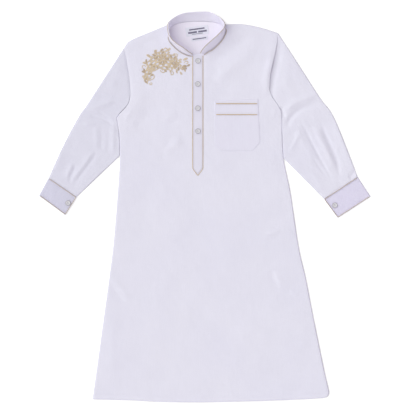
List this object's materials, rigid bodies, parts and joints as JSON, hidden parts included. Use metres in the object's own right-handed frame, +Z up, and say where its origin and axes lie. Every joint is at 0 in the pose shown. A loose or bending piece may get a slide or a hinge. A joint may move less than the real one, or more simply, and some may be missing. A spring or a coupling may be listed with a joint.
{
  "type": "thobe robe",
  "caption": "Child's long white robe laid flat, with a standing collar, a buttoned placket, a chest pocket and long cuffed sleeves, edged with gold piping.",
  "frame": {"origin": "middle of the garment's footprint, on the surface that it lies on", "axes": "+X across the garment towards its left sleeve, +Y from the hem to the collar, +Z up out of the surface"},
  "size_m": [0.6922, 0.82, 0.0306],
  "materials": {
    "cloth": "plain-woven white cloth with a cool tint, matt with a faint sheen",
    "piping": "gold satin cord and thread",
    "button": "pearly shirt button",
    "label": "woven satin tape, blank"
  },
  "bodies": {
    "root": {"body_front": "cloth", "body_back": "cloth", "sleeve_right": "cloth", "sleeve_left": "cloth", "cuff_right": "cloth", "cuff_left": "cloth", "collar": "cloth", "placket": "cloth", "pocket": "cloth", "collar_piping_top": "piping", "collar_piping_seam": "piping", "placket_piping": "piping", "pocket_piping_1": "piping", "pocket_piping_2": "piping", "cuff_piping_right": "piping", "cuff_piping_left": "piping", "button_placket_1": "button", "button_placket_2": "button", "button_placket_3": "button", "button_placket_4": "button", "button_cuff_right": "button", "button_cuff_left": "button", "label_main": "label", "label_size": "label"}
  },
  "joints": []
}
